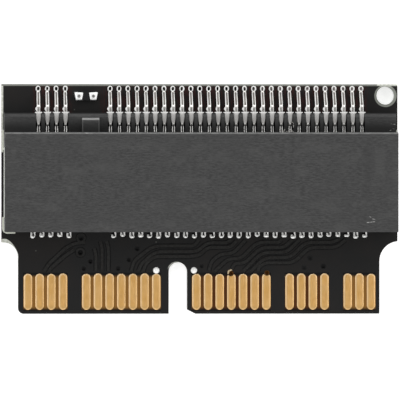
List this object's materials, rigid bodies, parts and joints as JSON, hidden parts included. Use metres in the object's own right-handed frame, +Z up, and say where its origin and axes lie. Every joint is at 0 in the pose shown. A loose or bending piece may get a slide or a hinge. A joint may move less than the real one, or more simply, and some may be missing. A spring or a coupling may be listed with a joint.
{
  "type": "nvme adapter card",
  "caption": "Short black adapter board with a keyed solid-state module socket on one face and a notched gold edge connector along one end.",
  "frame": {"origin": "centre of the board's rectangle, on its underside", "axes": "+X along the connector rows, +Y out of the socket's mouth, +Z up through the socket"},
  "size_m": [0.022, 0.0128, 0.004],
  "materials": {
    "board": "black solder mask, satin",
    "housing": "fine grained dark grey moulding",
    "contact_metal": "bright plated strip",
    "solder": "bright reflowed solder",
    "tinned_plate": "tin plated",
    "resistor": "black coated chip",
    "gold": "satin gold plate"
  },
  "bodies": {
    "root": {"circuit_board": "board", "socket_housing": "housing", "lower_contacts_key_side": "contact_metal", "lower_contacts_main": "contact_metal", "upper_contacts_key_side": "contact_metal", "upper_contacts_main": "contact_metal", "front_solder_key_side": "solder", "front_solder_main": "solder", "rear_solder_key_side": "solder", "rear_solder_main": "solder", "hold_down_left": "tinned_plate", "hold_down_right": "tinned_plate", "hold_down_solder_left": "solder", "hold_down_solder_right": "solder", "resistor_body": "resistor", "resistor_caps": "tinned_plate", "resistor_solder": "solder", "via_solder_plugs": "solder", "front_fingers_short_bank": "gold", "front_fingers_long_bank": "gold", "back_fingers_short_bank": "gold", "back_fingers_long_bank": "gold"}
  },
  "joints": []
}
